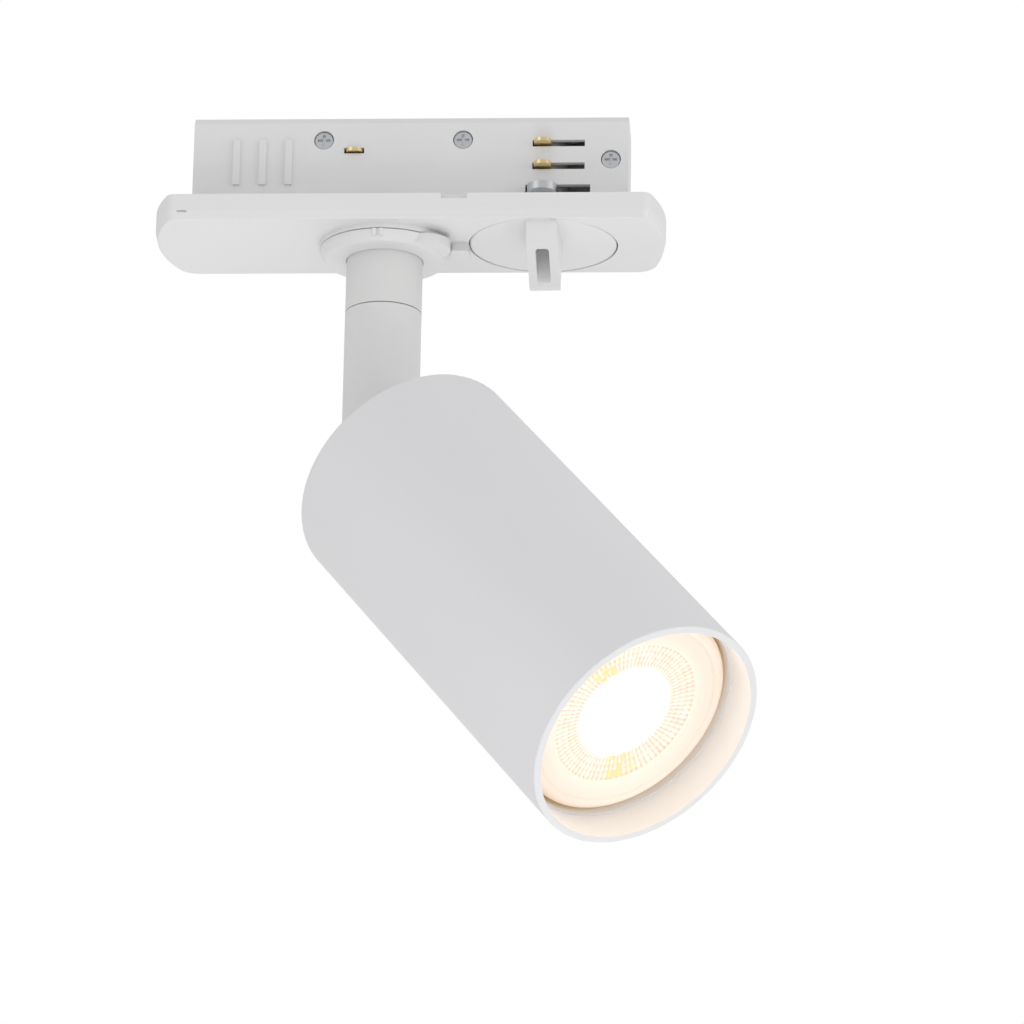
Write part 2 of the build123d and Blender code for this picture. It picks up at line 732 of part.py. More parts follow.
with BuildPart() as rear_cap:
    with BuildSketch(head_plane.offset(rear_face)):
        Circle(tube_bore)
    extrude(amount=cap_thick)
    # hinge lug that enters the stem's fork
    with BuildSketch(lug_plane):
        Circle(lug_round)
        with Locations(((rear_face + 1.0) / 2, 0)):
            Rectangle(rear_face + 1.0, 2 * lug_round)
    extrude(amount=lug_half, both=True)
    with BuildSketch(lug_plane):
        Circle(hinge_pin_radius + running)
    extrude(amount=12.0, both=True, mode=Mode.SUBTRACT)
    # channel along the lug's upper side for the leads, on through the cap
    with BuildSketch(head_plane.offset(-8.0)):
        with Locations((0, -(groove_floor + 6.6) / 2)):
            Rectangle(2 * groove_half, 6.6 - groove_floor)
    extrude(amount=cap_inside + 8.0, mode=Mode.SUBTRACT)
    # tapped holes for the two posts and for the earth screw
    with BuildSketch(head_plane.offset(cap_inside)):
        with Locations((0, post_offset), (0, -post_offset), tag_place):
            Circle(m3_radius)
    extrude(amount=-3.0, mode=Mode.SUBTRACT)
    # tapped holes in the edge for the two grub screws
    for around in grub_angles:
        with BuildSketch(grub_plane(around).offset(tube_bore)):
            Circle(grub_radius)
        extrude(amount=-grub_length, mode=Mode.SUBTRACT)
write(rear_cap, "rear_cap")

with BuildPart() as hinge_washers:
    for face in (lug_half + 0.05, -lug_half - 0.55):
        with BuildSketch(lug_plane.offset(face)):
            Circle(6.0)
            Circle(hinge_pin_radius + running, mode=Mode.SUBTRACT)
        extrude(amount=0.5)
write(hinge_washers, "hinge_washers")

with BuildPart() as head_tube:
    with BuildSketch(head_plane.offset(rear_face)):
        Circle(tube_radius)
    extrude(amount=tube_length)
    rear_edge = [edge for edge in head_tube.edges().filter_by(GeomType.CIRCLE)
                 if abs(head_plane.to_local_coords(edge.center()).Z - rear_face) < 0.01]
    fillet(rear_edge, 1.2)
    front_edge = [edge for edge in head_tube.edges().filter_by(GeomType.CIRCLE)
                  if abs(head_plane.to_local_coords(edge.center()).Z - rim_face) < 0.01]
    fillet(front_edge, 0.3)
    with BuildSketch(head_plane.offset(rear_face)):
        Circle(tube_bore)
    extrude(amount=tube_length, mode=Mode.SUBTRACT)
    # seat for a front accessory, a little wider than the bore behind it
    with BuildSketch(head_plane.offset(lamp_face)):
        Circle(seat_bore)
    extrude(amount=lamp_recess, mode=Mode.SUBTRACT)
    for around in grub_angles:
        with BuildSketch(grub_plane(around).offset(tube_radius + 1.0)):
            Circle(grub_radius)
        extrude(amount=-4.0, mode=Mode.SUBTRACT)
write(head_tube, "head_tube")

with BuildPart() as cap_grub_screws:
    for around in grub_angles:
        with BuildSketch(grub_plane(around).offset(tube_radius - grub_sunk)):
            Circle(grub_radius)
        extrude(amount=-grub_length)
        with BuildSketch(grub_plane(around).offset(tube_radius - grub_sunk)):
            RegularPolygon(0.8, 6)
        extrude(amount=-1.5, mode=Mode.SUBTRACT)
write(cap_grub_screws, "cap_grub_screws")

# ---------------------------------------------------------------- lampholder and its carrier
holder_bottom = post_top + 1.2
holder_top = lamp_base - 0.2
holder_screw_offset = 11.35
pin_circle = 5.0
pin_neck = 1.55
pin_head = 2.5
twist = 15.0
wire_radius = 0.7

with BuildPart() as holder_posts:
    with BuildSketch(head_plane.offset(cap_inside)):
        with Locations((0, post_offset), (0, -post_offset)):
            RegularPolygon(3.3, 6)
    extrude(amount=post_top - cap_inside)
    with BuildSketch(head_plane.offset(cap_inside)):
        with Locations((0, post_offset), (0, -post_offset)):
            Circle(m3_radius)
    extrude(amount=-3.0)
    with BuildSketch(head_plane.offset(post_top)):
        with Locations((0, post_offset), (0, -post_offset)):
            Circle(m3_radius)
    extrude(amount=-7.0, mode=Mode.SUBTRACT)
write(holder_posts, "holder_posts")

with BuildPart() as holder_plate:
    with BuildSketch(head_plane.offset(post_top)):
        Circle(24.0)
        Rectangle(15.0, 9.0, mode=Mode.SUBTRACT)
        with Locations((0, post_offset), (0, -post_offset),
                       (holder_screw_offset, 0), (-holder_screw_offset, 0)):
            Circle(m3_radius, mode=Mode.SUBTRACT)
        with PolarLocations(19.0, 2):
            SlotOverall(14.0, 4.0, rotation=90, mode=Mode.SUBTRACT)
    extrude(amount=holder_bottom - post_top)
write(holder_plate, "holder_plate")

post_screws = screws(head_plane.offset(holder_bottom), [(0, post_offset), (0, -post_offset)],
                     m3_radius, 7.0, 2.8, 2.0)
write(post_screws, "post_screws")

with BuildPart() as lampholder:
    with BuildSketch(head_plane.offset(holder_bottom)):
        RectangleRounded(30.0, 17.0, 3.0)
    extrude(amount=holder_top - holder_bottom)
    fillet([edge for edge in lampholder.edges()
            if abs(head_plane.to_local_coords(edge.center()).Z - holder_top) < 0.01], 0.6)
    # keyhole openings: round where the lamp goes in, an arc where its pins lock
    for start in (0, 180):
        with BuildSketch(head_plane.offset(holder_top)):
            add(arc_slot(pin_circle, start, twist, 2 * pin_neck + 0.5))
            with Locations((pin_circle * cos(radians(start + twist)),
                            pin_circle * sin(radians(start + twist)))):
                Circle(pin_head + 0.3)
        extrude(amount=-3.6, mode=Mode.SUBTRACT)
        with BuildSketch(head_plane.offset(holder_top - 3.6)):
            add(arc_slot(pin_circle, start, twist, 2 * pin_head + 0.7))
        extrude(amount=-6.3, mode=Mode.SUBTRACT)
    with BuildSketch(head_plane.offset(holder_bottom)):
        with Locations((pin_circle, 0), (-pin_circle, 0)):
            Circle(wire_radius)
        with Locations((holder_screw_offset, 0), (-holder_screw_offset, 0)):
            Circle(m3_radius)
    extrude(amount=holder_top - holder_bottom - 9.0, mode=Mode.SUBTRACT)
    with BuildSketch(head_plane.offset(holder_top)):
        with Locations((holder_screw_offset, 0), (-holder_screw_offset, 0)):
            Circle(3.0)
    extrude(amount=-9.0, mode=Mode.SUBTRACT)
write(lampholder, "lampholder")

holder_screws = screws(head_plane.offset(holder_top - 9.0),
                       [(holder_screw_offset, 0), (-holder_screw_offset, 0)], m3_radius, 9.5, 2.8, 2.0)
write(holder_screws, "lampholder_screws")

with BuildPart() as lampholder_contacts:
    with BuildSketch(head_plane.offset(holder_top - 9.9)):
        for start in (0, 180):
            add(arc_slot(pin_circle, start, twist, 3.6))
    extrude(amount=2.6)
write(lampholder_contacts, "lampholder_contacts")

# leads of the head: along the lug's channel, through the cap and up to the holder
lead_rise = -(groove_floor + 0.9)
contact_foot = holder_top - 9.9


def head_points(*places):
    """Points given in the head plane as (x, y, distance along the axis)."""
    return [head_plane.from_local_coords(Vector(*place)) for place in places]


live_lead = lead(head_points((-1.45, lead_rise, 3.5), (-1.45, lead_rise, 21.0),
                             (-pin_circle, 0, 30.0), (-pin_circle, 0, contact_foot)), wire_radius, 3.0)
write(live_lead, "head_live_lead")
neutral_lead = lead(head_points((1.45, lead_rise, 3.5), (1.45, lead_rise, 21.0),
                                (pin_circle, 0, 30.0), (pin_circle, 0, contact_foot)), wire_radius, 3.0)
write(neutral_lead, "head_neutral_lead")
tag_top = cap_inside + 0.8
earth_lead = lead(head_points((0, lead_rise, 3.5), (0, lead_rise, 22.5), (6.0, -9.5, 22.5),
                              (6.0, -9.5, tag_top)), wire_radius, 1.8)
write(earth_lead, "head_earth_lead")

with BuildPart() as earth_tag:
    with BuildSketch(head_plane.offset(cap_inside)):
        with Locations(tag_place):
            Circle(3.2)
        with Locations((8.2, -8.6)):
            Rectangle(7.0, 3.0, rotation=-22)
        with Locations(tag_place):
            Circle(m3_radius, mode=Mode.SUBTRACT)
    extrude(amount=0.8)
write(earth_tag, "earth_tag")

earth_screw = screws(head_plane.offset(tag_top), [tag_place], m3_radius, 3.6, 2.8, 1.8)
write(earth_screw, "earth_screw")

# ---------------------------------------------------------------- GU10 lamp
neck_radius = 12.0
cone_start = lamp_base + 16.0
cone_end = lamp_face - 5.8
shell_wall = 1.2
lens_radius = 17.2
bezel_round = 2.0

with BuildPart() as lamp_shell:
    with BuildSketch(lug_plane):
        with BuildLine():
            Polyline((lamp_base, 0), (lamp_base, neck_radius), (cone_start, neck_radius),
                     (cone_end - 10.0, lamp_radius - 2.6), (cone_end, lamp_radius - 0.4),
                     (cone_end, lamp_radius - 0.4 - shell_wall),
                     (cone_end - 10.0, lamp_radius - 2.6 - shell_wall),
                     (cone_start, neck_radius - shell_wall),
                     (lamp_base + 2.4, neck_radius - shell_wall), (lamp_base + 2.4, 0), close=True)
        make_face()
    revolve(axis=Axis(pivot, head_axis))
    with BuildSketch(head_plane.offset(lamp_base)):
        with Locations((pin_circle, 0), (-pin_circle, 0)):
            Circle(pin_neck)
    extrude(amount=2.4, mode=Mode.SUBTRACT)
write(lamp_shell, "lamp_shell")

with BuildPart() as lamp_pins:
    with BuildSketch(head_plane.offset(lamp_base + 2.4)):
        with Locations((pin_circle, 0), (-pin_circle, 0)):
            Circle(pin_neck)
    extrude(amount=-6.6)
    with BuildSketch(head_plane.offset(lamp_base - 4.2)):
        with Locations((pin_circle, 0), (-pin_circle, 0)):
            Circle(pin_head)
    extrude(amount=-2.8)
    fillet([edge for edge in lamp_pins.edges().filter_by(GeomType.CIRCLE)
            if abs(head_plane.to_local_coords(edge.center()).Z - lamp_base + 7.0) < 0.01], 0.6)
write(lamp_pins, "lamp_pins")

with BuildPart() as lamp_driver:
    with BuildSketch(head_plane.offset(lamp_base + 5.0)):
        Rectangle(19.0, 1.6)
    extrude(amount=26.0)
    with BuildSketch(head_plane.offset(lamp_base + 8.0)):
        with Locations((-4.5, 3.8)):
            Rectangle(7.0, 6.0)
        with Locations((5.0, 4.2)):
            Circle(3.5)
    extrude(amount=10.0)
    with BuildSketch(head_plane.offset(lamp_base + 20.0)):
        with Locations((0, -3.2)):
            Rectangle(9.0, 4.8)
    extrude(amount=8.0)
write(lamp_driver, "lamp_driver")

board_bottom = lamp_face - 10.5
with BuildPart() as lamp_heat_plate:
    with BuildSketch(head_plane.offset(board_bottom - 2.0)):
        Circle(lamp_radius - 3.9)
    extrude(amount=2.0)
write(lamp_heat_plate, "lamp_heat_plate")

with BuildPart() as led_board:
    with BuildSketch(head_plane.offset(board_bottom)):
        Circle(16.0)
    extrude(amount=1.2)
write(led_board, "led_board")

with BuildPart() as led_chips:
    with BuildSketch(head_plane.offset(board_bottom + 1.2)):
        with PolarLocations(9.5, 6):
            Rectangle(2.8, 3.5)
        Rectangle(3.0, 3.0)
    extrude(amount=0.8)
write(led_chips, "led_chips")

with BuildPart() as lamp_bezel:
    with BuildSketch(lug_plane) as bezel_section:
        with BuildLine():
            Polyline((cone_end, lens_radius), (lamp_face - 0.4, lens_radius), (lamp_face, 18.6),
                     (lamp_face, lamp_radius), (cone_end, lamp_radius), close=True)
        make_face()
        fillet(bezel_section.vertices().group_by(Axis.X)[-1].sort_by(Axis.Y)[-1], bezel_round)
    revolve(axis=Axis(pivot, head_axis))
write(lamp_bezel, "lamp_bezel")

with BuildPart() as lamp_lens:
    with BuildSketch(lug_plane):
        with BuildLine():
            Polyline((lamp_face - 4.5, 0), (lamp_face - 4.5, lens_radius), (lamp_face - 0.6, lens_radius),
                     (lamp_face - 1.4, 12.0), (lamp_face - 0.9, 12.0), (lamp_face - 0.9, 0), close=True)
        make_face()
    revolve(axis=Axis(pivot, head_axis))
write(lamp_lens, "lamp_lens")
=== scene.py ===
import json
from math import cos, pi, sin, tau

import bpy
from mathutils import Matrix, Vector


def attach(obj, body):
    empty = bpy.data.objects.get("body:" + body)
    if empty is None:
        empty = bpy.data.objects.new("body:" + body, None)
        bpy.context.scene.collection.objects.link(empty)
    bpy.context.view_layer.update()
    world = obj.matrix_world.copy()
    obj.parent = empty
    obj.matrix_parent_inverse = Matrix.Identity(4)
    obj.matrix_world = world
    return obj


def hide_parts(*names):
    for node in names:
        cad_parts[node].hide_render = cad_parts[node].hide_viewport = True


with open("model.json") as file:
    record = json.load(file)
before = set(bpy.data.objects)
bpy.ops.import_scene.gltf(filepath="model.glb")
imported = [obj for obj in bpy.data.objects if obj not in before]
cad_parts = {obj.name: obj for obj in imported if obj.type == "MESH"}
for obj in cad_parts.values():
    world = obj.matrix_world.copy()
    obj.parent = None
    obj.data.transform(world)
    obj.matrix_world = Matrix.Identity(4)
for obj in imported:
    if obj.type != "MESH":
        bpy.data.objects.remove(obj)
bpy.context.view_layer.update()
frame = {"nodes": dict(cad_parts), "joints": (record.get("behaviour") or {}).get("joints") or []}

# ------------------------------------------------------------------ cover plate
# The cover plate is an injection moulding in white polyamide that closes the adapter under the
# track. The mould is spark-eroded, so the faces that show carry a fine even grain.


def new_effect(name, inputs):
    """Shader node group with the inputs (label, kind, value) that gives colour, roughness and height."""
    tree = bpy.data.node_groups.new(name, "ShaderNodeTree")
    for label, kind, value in inputs:
        socket = tree.interface.new_socket(label, in_out="INPUT", socket_type="NodeSocket" + kind)
        socket.default_value = value
    for label, kind in (("Colour", "Color"), ("Roughness", "Float"), ("Height", "Float")):
        tree.interface.new_socket(label, in_out="OUTPUT", socket_type="NodeSocket" + kind)
    return tree, tree.nodes.new("NodeGroupInput"), tree.nodes.new("NodeGroupOutput")


def plug(tree, value, socket):
    """Connect an output socket, or set a plain value."""
    if isinstance(value, bpy.types.NodeSocket):
        tree.links.new(value, socket)
    else:
        socket.default_value = value


def maths(tree, operation, *values):
    """Result of a Math node."""
    node = tree.nodes.new("ShaderNodeMath")
    node.operation = operation
    for value, socket in zip(values, node.inputs):
        plug(tree, value, socket)
    return node.outputs[0]


def blended(tree, factor, first, second):
    """Mix of two colours. The node has sockets of the same name for other kinds, so it goes by place."""
    first_colour, second_colour, mixed_colour = 6, 7, 2
    node = tree.nodes.new("ShaderNodeMix")
    node.data_type = "RGBA"
    plug(tree, factor, node.inputs["Factor"])
    plug(tree, first, node.inputs[first_colour])
    plug(tree, second, node.inputs[second_colour])
    return node.outputs[mixed_colour]


def own_place(tree):
    """Place on the piece, in its own coordinates."""
    return tree.nodes.new("ShaderNodeTexCoord").outputs["Object"]


def clouds(tree, size, detail=2.0, stretch=None):
    """Noise over the piece's own coordinates, with features of about the given size in metres."""
    place = own_place(tree)
    if stretch is not None:
        scaled = tree.nodes.new("ShaderNodeVectorMath")
        scaled.operation = "MULTIPLY"
        plug(tree, place, scaled.inputs[0])
        plug(tree, stretch, scaled.inputs[1])
        place = scaled.outputs[0]
    noise = tree.nodes.new("ShaderNodeTexNoise")
    plug(tree, place, noise.inputs["Vector"])
    plug(tree, maths(tree, "DIVIDE", 1.0, size), noise.inputs["Scale"])
    noise.inputs["Detail"].default_value = detail
    return noise.outputs["Fac"]


def tinted(tree, colour, amount, mask):
    """The colour made lighter or darker by the amount, following the mask."""
    node = tree.nodes.new("ShaderNodeHueSaturation")
    plug(tree, colour, node.inputs["Color"])
    swing = maths(tree, "MULTIPLY", maths(tree, "SUBTRACT", mask, 0.5), amount)
    plug(tree, maths(tree, "ADD", swing, 1.0), node.inputs["Value"])
    return node.outputs["Color"]


def varied(tree, roughness, amount, mask):
    """The roughness, raised and lowered by the mask."""
    swing = maths(tree, "MULTIPLY", maths(tree, "SUBTRACT", mask, 0.5), amount)
    return maths(tree, "ADD", roughness, swing)


def make_moulded_skin():
    """Moulded plastic: a fine grain over slow drifts of shade left by the melt's flow."""
    tree, given, result = new_effect("moulded_skin", [
        ("Colour", "Color", (0.8, 0.8, 0.8, 1.0)), ("Drift", "Float", 0.02),
        ("Roughness", "Float", 0.5), ("Grain Size", "Float", 0.0004)])
    flow_size, flow_dulling = 0.018, 0.14
    flow = clouds(tree, flow_size, detail=3.0)
    grain = clouds(tree, given.outputs["Grain Size"])
    plug(tree, tinted(tree, given.outputs["Colour"], given.outputs["Drift"], flow), result.inputs["Colour"])
    plug(tree, varied(tree, given.outputs["Roughness"], flow_dulling, flow), result.inputs["Roughness"])
    plug(tree, grain, result.inputs["Height"])
    return tree


def surface(name, effect, depth, settings, shader_values=()):
    """Material whose colour, roughness and bump come from one effect. The bump's depth is in metres."""
    material = bpy.data.materials.new(name)
    material.use_nodes = True
    tree = material.node_tree
    shader = tree.nodes["Principled BSDF"]
    group = tree.nodes.new("ShaderNodeGroup")
    group.node_tree = effect
    for label, value in settings.items():
        group.inputs[label].default_value = value
    bump = tree.nodes.new("ShaderNodeBump")
    bump.inputs["Distance"].default_value = depth
    plug(tree, group.outputs["Height"], bump.inputs["Height"])
    plug(tree, bump.outputs["Normal"], shader.inputs["Normal"])
    plug(tree, group.outputs["Colour"], shader.inputs["Base Color"])
    plug(tree, group.outputs["Roughness"], shader.inputs["Roughness"])
    for label, value in shader_values:
        shader.inputs[label].default_value = value
    return material


def dress(material, *nodes):
    """Give the material to carried-over nodes."""
    for node in nodes:
        slots = frame["nodes"][node].data.materials
        slots.clear()
        slots.append(material)


moulded_skin = make_moulded_skin()
plate_white = surface("plate_white", moulded_skin, 0.000012, {
    "Colour": (0.80, 0.80, 0.795, 1.0), "Drift": 0.02, "Roughness": 0.48, "Grain Size": 0.00035})
dress(plate_white, "cover_plate")

# ------------------------------------------------------------------ track insert
# The insert is two moulded halves in the same polyamide, screwed together round the terminals and
# the lock. Its mould is polished, so it is smoother, and the melt's flow shows along its length.

insert_white = surface("insert_white", moulded_skin, 0.000006, {
    "Colour": (0.78, 0.78, 0.775, 1.0), "Drift": 0.05, "Roughness": 0.34, "Grain Size": 0.0012})
dress(insert_white, "insert_near_half", "insert_far_half")

# ------------------------------------------------------------------ screws and steel pieces
# The screws, clips and the lock's shaft and cam are bright zinc-plated steel. The plating has a
# faint cloudy bloom over the drawn and turned marks of the steel below.


def make_worked_metal():
    """Metal with marks drawn out along one direction, under a cloudy bloom."""
    tree, given, result = new_effect("worked_metal", [
        ("Colour", "Color", (0.6, 0.6, 0.6, 1.0)), ("Bloom", "Float", 0.15),
        ("Roughness", "Float", 0.3), ("Mark Size", "Float", 0.0002),
        ("Stretch", "Vector", (1.0, 1.0, 0.08))])
    bloom_size, mark_shade, mark_dulling = 0.004, 0.10, 0.20
    bloom = clouds(tree, bloom_size, detail=3.0)
    marks = clouds(tree, given.outputs["Mark Size"], detail=3.0, stretch=given.outputs["Stretch"])
    bloomed = tinted(tree, given.outputs["Colour"], given.outputs["Bloom"], bloom)
    plug(tree, tinted(tree, bloomed, mark_shade, marks), result.inputs["Colour"])
    plug(tree, varied(tree, given.outputs["Roughness"], mark_dulling, marks), result.inputs["Roughness"])
    plug(tree, marks, result.inputs["Height"])
    return tree


worked_metal = make_worked_metal()
bare_metal = [("Metallic", 1.0)]
oxide_skin = [("Metallic", 0.85)]
turned_marks = (0.25, 0.25, 1.0)
drawn_marks = (1.0, 1.0, 0.06)
rolled_marks = (0.1, 1.0, 1.0)
sprung_marks = (1.0, 0.08, 1.0)
zinc = surface("zinc_plating", worked_metal, 0.000004, {
    "Colour": (0.60, 0.615, 0.63, 1.0), "Bloom": 0.16, "Roughness": 0.30, "Stretch": turned_marks},
    bare_metal)
dress(zinc, "case_screws", "plate_screws", "terminal_screws", "shaft_clip", "pan_circlip", "post_screws",
      "lampholder_screws", "earth_screw", "detent_rivet", "hinge_nut", "hinge_washers", "holder_posts")
zinc_sheet = surface("zinc_sheet", worked_metal, 0.000005, {
    "Colour": (0.58, 0.59, 0.60, 1.0), "Bloom": 0.28, "Roughness": 0.38, "Mark Size": 0.0004,
    "Stretch": rolled_marks}, bare_metal)
dress(zinc_sheet, "holder_plate", "lock_cam")
drawn_steel = surface("drawn_steel", worked_metal, 0.000005, {
    "Colour": (0.52, 0.53, 0.54, 1.0), "Bloom": 0.10, "Roughness": 0.26, "Stretch": drawn_marks},
    bare_metal)
dress(drawn_steel, "lock_shaft", "stem_nipple")
spring_steel = surface("spring_steel", worked_metal, 0.000003, {
    "Colour": (0.40, 0.40, 0.41, 1.0), "Bloom": 0.12, "Roughness": 0.24, "Stretch": sprung_marks},
    bare_metal)
dress(spring_steel, "detent_spring", "wave_washer")
black_oxide = surface("black_oxide", worked_metal, 0.000004, {
    "Colour": (0.055, 0.055, 0.06, 1.0), "Bloom": 0.35, "Roughness": 0.42, "Stretch": turned_marks},
    oxide_skin)
dress(black_oxide, "hinge_screw", "cap_grub_screws")

# ------------------------------------------------------------------ terminals and wiring
# A pale polyamide block takes the three cores. The blades and wipers are tinned brass strip, and
# the cores have smooth insulation in the usual colours, brown, blue and green with yellow.

block_white = surface("block_white", moulded_skin, 0.000008, {
    "Colour": (0.66, 0.65, 0.60, 1.0), "Drift": 0.06, "Roughness": 0.40, "Grain Size": 0.0006})
dress(block_white, "terminal_block", "rotor_sleeves")
brass = surface("brass_strip", worked_metal, 0.000004, {
    "Colour": (0.80, 0.62, 0.33, 1.0), "Bloom": 0.22, "Roughness": 0.26, "Stretch": rolled_marks},
    bare_metal)
dress(brass, "earth_blade", "live_wiper", "neutral_wiper", "live_contact", "neutral_contact",
      "lampholder_contacts", "earth_tag")
nickel = surface("nickel_pins", worked_metal, 0.000003, {
    "Colour": (0.72, 0.69, 0.63, 1.0), "Bloom": 0.10, "Roughness": 0.20, "Stretch": turned_marks},
    bare_metal)
dress(nickel, "lamp_pins")


def make_wire_skin():
    """Extruded insulation in one colour, or in two colours that wind round it."""
    tree, given, result = new_effect("wire_skin", [
        ("Colour", "Color", (0.3, 0.2, 0.1, 1.0)), ("Stripe", "Color", (0.3, 0.2, 0.1, 1.0)),
        ("Roughness", "Float", 0.35)])
    stripe_scale, skin_size, skin_shade, skin_dulling = 90.0, 0.0015, 0.12, 0.15
    stripes = tree.nodes.new("ShaderNodeTexWave")
    stripes.bands_direction = "DIAGONAL"
    stripes.inputs["Scale"].default_value = stripe_scale
    plug(tree, own_place(tree), stripes.inputs["Vector"])
    on_stripe = maths(tree, "GREATER_THAN", stripes.outputs["Fac"], 0.5)
    wound = blended(tree, on_stripe, given.outputs["Colour"], given.outputs["Stripe"])
    skin = clouds(tree, skin_size)
    plug(tree, tinted(tree, wound, skin_shade, skin), result.inputs["Colour"])
    plug(tree, varied(tree, given.outputs["Roughness"], skin_dulling, skin), result.inputs["Roughness"])
    plug(tree, skin, result.inputs["Height"])
    return tree


wire_skin = make_wire_skin()
for insulation, colour, stripe, wires in (
        ("brown_insulation", (0.16, 0.060, 0.025, 1.0), (0.15, 0.055, 0.022, 1.0),
         ("live_core", "live_feed", "head_live_lead")),
        ("blue_insulation", (0.025, 0.12, 0.45, 1.0), (0.022, 0.11, 0.42, 1.0),
         ("neutral_core", "neutral_feed", "head_neutral_lead")),
        ("earth_insulation", (0.06, 0.30, 0.05, 1.0), (0.75, 0.65, 0.05, 1.0),
         ("earth_core", "earth_feed", "head_earth_lead"))):
    dress(surface(insulation, wire_skin, 0.00001, {"Colour": colour, "Stripe": stripe}), *wires)
cable_sheath = surface("cable_sheath", wire_skin, 0.00002, {
    "Colour": (0.74, 0.74, 0.72, 1.0), "Stripe": (0.73, 0.73, 0.71, 1.0), "Roughness": 0.55})
dress(cable_sheath, "stem_cable")

# ------------------------------------------------------------------ lock dial
# The dial and its hollow lever are one moulding, in the plate's white but from a smoother tool,
# because a thumb turns it. It clicks against a leaf spring behind the plate.

dial_white = surface("dial_white", moulded_skin, 0.000007, {
    "Colour": (0.81, 0.81, 0.805, 1.0), "Drift": 0.02, "Roughness": 0.42, "Grain Size": 0.0005})
dress(dial_white, "lock_dial")

# ------------------------------------------------------------------ swivel
# The stem turns in an acetal bush, on a thin acetal ring. The ring with the stop lobe is moulded
# too and pressed on the collar, and is a little glossier than the plate.

acetal = surface("acetal", moulded_skin, 0.000003, {
    "Colour": (0.79, 0.79, 0.775, 1.0), "Drift": 0.03, "Roughness": 0.30, "Grain Size": 0.0015})
dress(acetal, "friction_ring", "pan_bush")
flange_white = surface("flange_white", moulded_skin, 0.000005, {
    "Colour": (0.80, 0.80, 0.80, 1.0), "Drift": 0.02, "Roughness": 0.36, "Grain Size": 0.0006})
dress(flange_white, "swivel_flange")

# ------------------------------------------------------------------ stem, rear cap and tube
# Collar, stem, cap and tube are turned from aluminium and have a matt white powder coat. Baked
# powder flows into a very fine orange peel, with a trace of sparkle in its roughness.


def make_powder_coat():
    """Baked powder: orange peel in two sizes, with a slight unevenness of shade."""
    tree, given, result = new_effect("powder_coat", [
        ("Colour", "Color", (0.8, 0.8, 0.8, 1.0)), ("Drift", "Float", 0.02),
        ("Roughness", "Float", 0.6), ("Peel Size", "Float", 0.0008)])
    drift_size, grit_share = 0.03, 0.28
    grit_shade, grit_dulling, grit_height = 0.03, 0.18, 0.35
    drift = clouds(tree, drift_size)
    peel = clouds(tree, given.outputs["Peel Size"], detail=1.0)
    grit = clouds(tree, maths(tree, "MULTIPLY", given.outputs["Peel Size"], grit_share))
    shade = tinted(tree, given.outputs["Colour"], given.outputs["Drift"], drift)
    plug(tree, tinted(tree, shade, grit_shade, grit), result.inputs["Colour"])
    plug(tree, varied(tree, given.outputs["Roughness"], grit_dulling, grit), result.inputs["Roughness"])
    both = maths(tree, "ADD", peel, maths(tree, "MULTIPLY", grit, grit_height))
    plug(tree, both, result.inputs["Height"])
    return tree


powder_coat = make_powder_coat()
stem_coat = surface("stem_coat", powder_coat, 0.000012, {
    "Colour": (0.755, 0.75, 0.74, 1.0), "Roughness": 0.60, "Peel Size": 0.0006})
dress(stem_coat, "stem_collar", "stem_tube")
head_coat = surface("head_coat", powder_coat, 0.000014, {
    "Colour": (0.785, 0.785, 0.79, 1.0), "Roughness": 0.58, "Peel Size": 0.0007})
dress(head_coat, "head_tube", "rear_cap")

# ------------------------------------------------------------------ lampholder
# The lampholder is pressed and fired ceramic under a clear glaze, on a zinc-plated steel plate.
# Small pits and dark iron specks are normal in this kind of ceramic.


def make_glazed_body():
    """Fired ceramic under a glaze: slow waves in the glaze, and sparse iron specks below it."""
    tree, given, result = new_effect("glazed_body", [
        ("Colour", "Color", (0.8, 0.78, 0.74, 1.0)), ("Speck", "Color", (0.25, 0.17, 0.10, 1.0)),
        ("Roughness", "Float", 0.15)])
    speck_scale, speck_reach = 420.0, 0.07
    glaze_size, glaze_shade, glaze_dulling = 0.006, 0.08, 0.10
    specks = tree.nodes.new("ShaderNodeTexVoronoi")
    specks.inputs["Scale"].default_value = speck_scale
    plug(tree, own_place(tree), specks.inputs["Vector"])
    on_speck = maths(tree, "LESS_THAN", specks.outputs["Distance"], speck_reach)
    glaze = clouds(tree, glaze_size)
    clear = tinted(tree, given.outputs["Colour"], glaze_shade, glaze)
    plug(tree, blended(tree, on_speck, clear, given.outputs["Speck"]), result.inputs["Colour"])
    plug(tree, varied(tree, given.outputs["Roughness"], glaze_dulling, glaze), result.inputs["Roughness"])
    plug(tree, glaze, result.inputs["Height"])
    return tree


glazed_ceramic = surface("glazed_ceramic", make_glazed_body(), 0.00012, {"Roughness": 0.14},
                         [("Coat Weight", 0.5)])
dress(glazed_ceramic, "lampholder")

# ------------------------------------------------------------------ lamp body
# The lamp is a GU10 reflector lamp. Its white thermoplastic shell holds the driver board, an
# aluminium plate that spreads the heat, and a white board with seven LEDs.

shell_white = surface("shell_white", moulded_skin, 0.000005, {
    "Colour": (0.80, 0.78, 0.74, 1.0), "Drift": 0.02, "Roughness": 0.30, "Grain Size": 0.001})
dress(shell_white, "lamp_shell")
spun_aluminium = surface("spun_aluminium", worked_metal, 0.000006, {
    "Colour": (0.78, 0.78, 0.79, 1.0), "Bloom": 0.08, "Roughness": 0.34, "Mark Size": 0.0005},
    bare_metal)
dress(spun_aluminium, "lamp_heat_plate")


